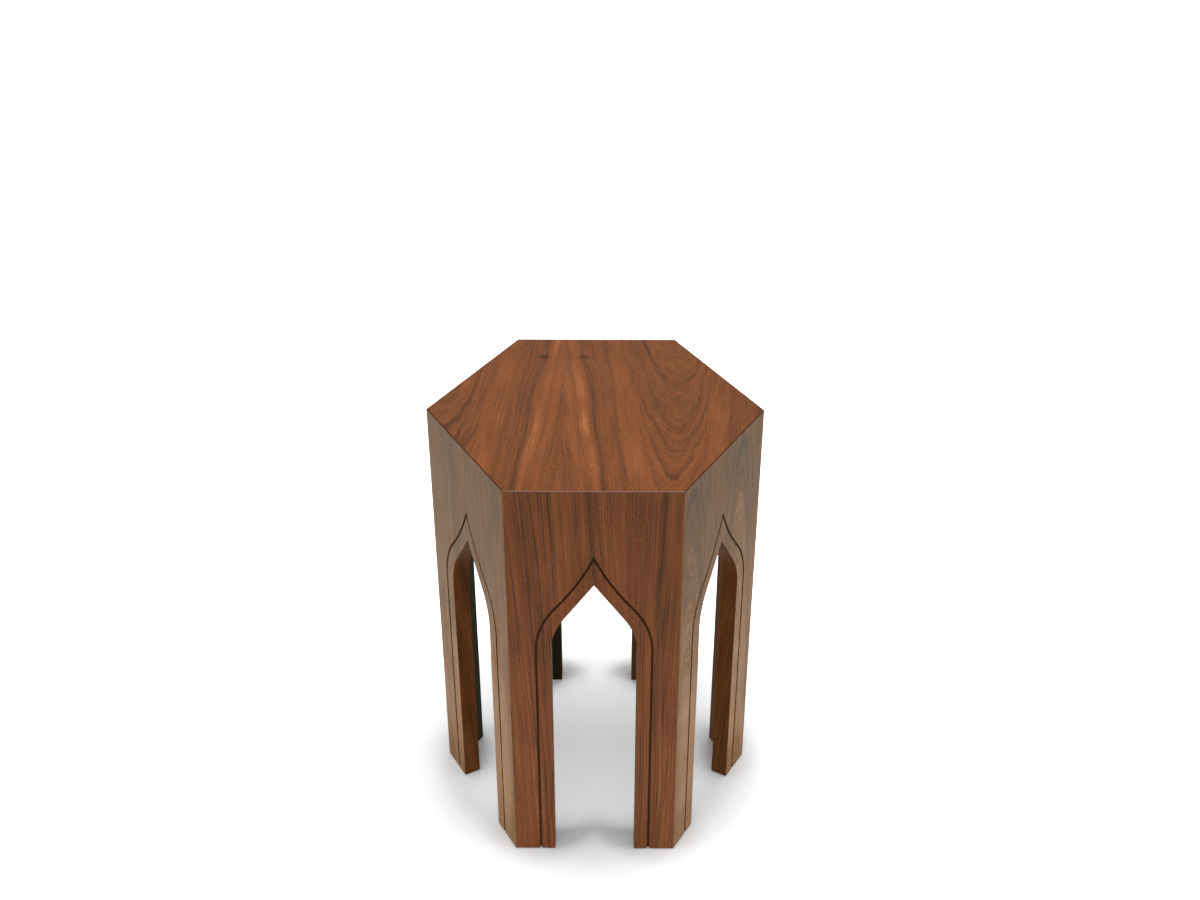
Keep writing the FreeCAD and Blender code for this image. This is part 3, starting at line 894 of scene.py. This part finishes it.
SIDE_GRAIN = {
    1: Grain(
        lines=(
            (-0.0920, 0.140, 0.0020, -0.12, 0.41, 0.56), (-0.0708, 0.060, 0.0009, -0.34, 0.37, 0.56),
            (-0.0605, 0.000, 0.0008, -0.26, 0.27, 0.36), (-0.0530, 0.045, 0.0008, -0.18, 0.42, 0.56),
            (-0.0490, 0.035, 0.0042, -0.14, 0.43, 0.56), (-0.0430, 0.010, 0.0022, 0.09, 0.40, 0.56),
            (-0.0200, 0.000, 0.0009, -0.16, 0.48, 0.56), (-0.0270, 0.030, 0.0010, -0.14, 0.40, 0.51),
            (-0.0108, 0.010, 0.0014, 0.14, 0.47, 0.56), (-0.0055, 0.085, 0.0034, -0.20, 0.43, 0.56),
            (0.0026, 0.085, 0.0008, -0.30, 0.42, 0.56), (0.0052, 0.080, 0.0006, -0.20, 0.46, 0.56),
            (0.0142, 0.050, 0.0008, -0.14, 0.40, 0.56), (0.0784, -0.040, 0.0008, -0.22, 0.38, 0.56),
            (0.0828, -0.050, 0.0024, -0.15, 0.36, 0.56), (0.0915, -0.060, 0.0018, 0.16, 0.40, 0.56),
            (0.0800, 0.000, 0.0013, 0.24, 0.09, 0.33), (0.0985, 0.000, 0.0013, -0.14, 0.00, 0.56),
            (0.0900, 0.000, 0.0008, -0.18, 0.00, 0.22), (-0.0533, 0.000, 0.0014, -0.34, 0.07, 0.14),
            (-0.0830, 0.000, 0.0080, 0.10, 0.14, 0.30), (0.0520, 0.000, 0.0007, -0.20, 0.00, 0.30),
            (0.0552, 0.000, 0.0008, -0.24, 0.00, 0.20), (0.0586, 0.000, 0.0007, -0.20, 0.04, 0.33),
            (0.0622, 0.000, 0.0008, -0.18, 0.00, 0.26), (0.0735, 0.000, 0.0008, -0.22, 0.00, 0.30),
            (0.0768, 0.000, 0.0007, -0.16, 0.00, 0.18), (0.0860, 0.000, 0.0008, 0.12, 0.05, 0.32),
            (0.0945, 0.000, 0.0007, -0.20, 0.05, 0.40), (-0.0600, 0.000, 0.0060, -0.08, 0.00, 0.33),
            (-0.0770, 0.000, 0.0120, -0.05, 0.00, 0.30)),
        lean=0.045, broad=0.55, narrow=0.66, year=0.0032, latewood=0.42, lift=0.02),
    2: Grain(
        figures=((-0.0820, 0.28, 0.0060), (0.0468, 0.28, 0.0060)),
        streaks=((0.0392, 0.0018, -0.11), (0.0366, 0.0008, -0.10), (0.0320, 0.0030, 0.08)),
        lines=(
            (-0.0730, 0.000, 0.0200, 0.10, 0.00, 0.26), (-0.0985, 0.000, 0.0060, -0.10, 0.00, 0.30),
            (0.0850, 0.000, 0.0250, -0.10, 0.00, 0.24)),
        ripple=0.020, feather=0.006, broad=0.30, narrow=0.28, latewood=0.14),
    3: Grain(
        figures=((-0.0250, 0.22, 0.0045),), streaks=((0.0300, 0.0009, -0.20),),
        ripple=0.020, feather=0.006),
    4: Grain(
        lines=(
            (0.0300, 0.030, 0.0009, -0.24, 0.30, 0.56), (-0.0620, -0.020, 0.0040, -0.14, 0.10, 0.50)),
        lean=-0.03),
    5: Grain(
        figures=((0.0550, 0.24, 0.0050),), streaks=((0.0340, 0.0010, -0.20),),
        ripple=0.020, feather=0.006),
    6: Grain(
        lines=(
            (0.0100, 0.000, 0.0008, -0.18, 0.48, 0.56), (-0.0370, 0.010, 0.0080, -0.07, 0.38, 0.56),
            (0.0550, 0.000, 0.0040, 0.08, 0.20, 0.56), (0.0730, 0.000, 0.0200, 0.10, 0.00, 0.26),
            (0.0985, 0.000, 0.0065, -0.20, 0.00, 0.32), (-0.0850, 0.000, 0.0250, -0.20, 0.00, 0.30)),
        lean=0.02, broad=0.28, narrow=0.24, latewood=0.12),
}

make_floor()
make_world()
for lamp in LAMPS:
    make_lamp(*lamp)
make_camera()

top_finish = top_walnut()
for side, corners in (("left", (2, 3, 4)), ("right", (5, 0, 1))):
    paint(make_top_leaf(side, corners), top_finish)

for number in range(1, SIDES + 1):
    finish = side_walnut(number, SIDE_GRAIN[number])
    for piece in (make_side_field(number), make_arch_border(number)):
        paint(piece, finish)
    paint(make_arch_lining(number), edge_walnut(number))

core_finish = dull_board(
    "core_stain", (0.130, 0.050, 0.018), Noise(700, 500, octaves=4.0, roughness=0.6, seed=1.0),
    (((0.075, 0.030, 0.011), (0.130, 0.050, 0.018)),), roughness=0.8, gloss=0.12)
# The inner faces: a dark stain, with painted shade making the left half near black and painted light
# making the right half browner.
backing_finish = dull_board(
    "backing_stain_and_painted_shade", (0.030, 0.018, 0.008), Noise(240.0, 8.0, octaves=4.0, roughness=0.6),
    (((0.012, 0.012, 0.003), (0.030, 0.024, 0.007)), ((0.110, 0.042, 0.015), (0.190, 0.080, 0.034))),
    roughness=0.6, gloss=0.08)
spline_finish = dull_board(
    "beech", (0.52, 0.35, 0.20), Noise(900, 30, octaves=4.0, roughness=0.6, seed=4.0),
    (((0.36, 0.22, 0.12), (0.52, 0.35, 0.20)),), roughness=0.7, gloss=0.12)
block_finish = dull_board(
    "pine", (0.60, 0.42, 0.22), Noise(300, 20, octaves=4.0, roughness=0.6, seed=6.0),
    (((0.42, 0.26, 0.12), (0.60, 0.42, 0.22)),), roughness=0.7, gloss=0.12)

NODE_FINISHES = {
    "top_core": core_finish, "side_core": core_finish, "top_backing_veneer": backing_finish,
    "side_backing_veneer": backing_finish, "corner_spline": spline_finish, "top_spline": spline_finish,
    "glue_block_screws": zinc(), "glue_block": block_finish, "foot_glide": nylon(),
}
for name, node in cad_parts.items():
    kind = name.rstrip("0123456789").rstrip("_")
    if kind in NODE_FINISHES:
        paint(node, NODE_FINISHES[kind])

bpy.context.scene.view_settings.view_transform = "Standard"
